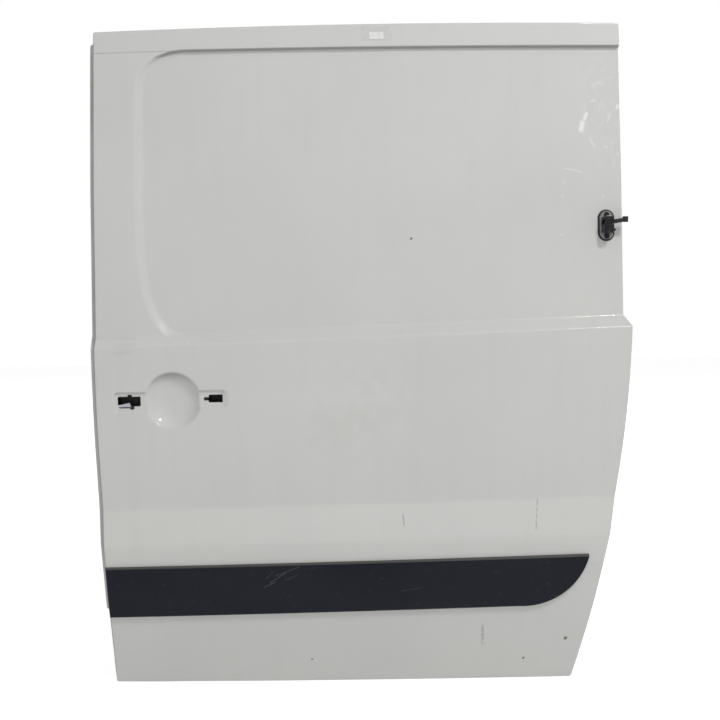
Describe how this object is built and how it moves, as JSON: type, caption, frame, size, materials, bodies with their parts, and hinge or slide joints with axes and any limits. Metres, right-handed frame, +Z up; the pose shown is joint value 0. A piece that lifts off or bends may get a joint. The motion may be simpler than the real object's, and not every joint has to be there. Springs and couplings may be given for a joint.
{
  "type": "van sliding door",
  "caption": "Left sliding door of a panel van: pressed skin with blanked window, handle seat without its handle, side moulding, inner panel, rollers and a swinging centre hinge arm.",
  "frame": {"origin": "middle of the flat underside of the lower roller arm", "axes": "+X to the rear of the van, +Y from the outer skin to the inside, +Z up along the door"},
  "size_m": [1.0839, 0.2809, 1.3597],
  "materials": {
    "body_paint": "worn white gloss paint",
    "inner_paint": "thin white paint over primer",
    "black_plastic": "moulded black plastic",
    "slate_plastic": "grained dark slate plastic",
    "plated_steel": "zinc-plated steel",
    "dark_steel": "black dip paint on pressed steel",
    "dark_cast": "dark phosphated casting",
    "black_rubber": "moulded rubber",
    "roller_plastic": "dark engineering plastic"
  },
  "bodies": {
    "door": {"outer_skin": "body_paint", "inner_panel": "inner_paint", "intrusion_beam": "inner_paint", "waist_rail": "inner_paint", "upper_rail": "inner_paint", "handle_carrier": "black_plastic", "side_moulding": "slate_plastic", "front_latch": "plated_steel", "rear_latch": "plated_steel", "upper_locator": "plated_steel", "lower_locator": "plated_steel", "upper_bump_stop": "black_rubber", "lower_bump_stop": "black_rubber", "lower_roller_arm": "dark_steel", "load_roller": "roller_plastic", "front_guide_roller": "roller_plastic", "rear_guide_roller": "roller_plastic", "upper_roller_bracket": "dark_steel", "upper_roller": "roller_plastic", "hinge_gasket": "black_rubber", "hinge_plate": "plated_steel", "hinge_yoke": "dark_cast", "hinge_pin": "plated_steel", "front_plug": "black_plastic", "middle_plug": "black_plastic", "rear_plug": "black_plastic"},
    "hinge_arm": {"hinge_arm": "dark_cast"}
  },
  "joints": [
    {"name": "hinge_arm_swing", "type": "hinge", "parent": "door", "child": "hinge_arm", "pos_m": [0.922, -0.15809, 0.9], "axis": [0, 0, -1], "range_deg": [0, 75]}
  ]
}
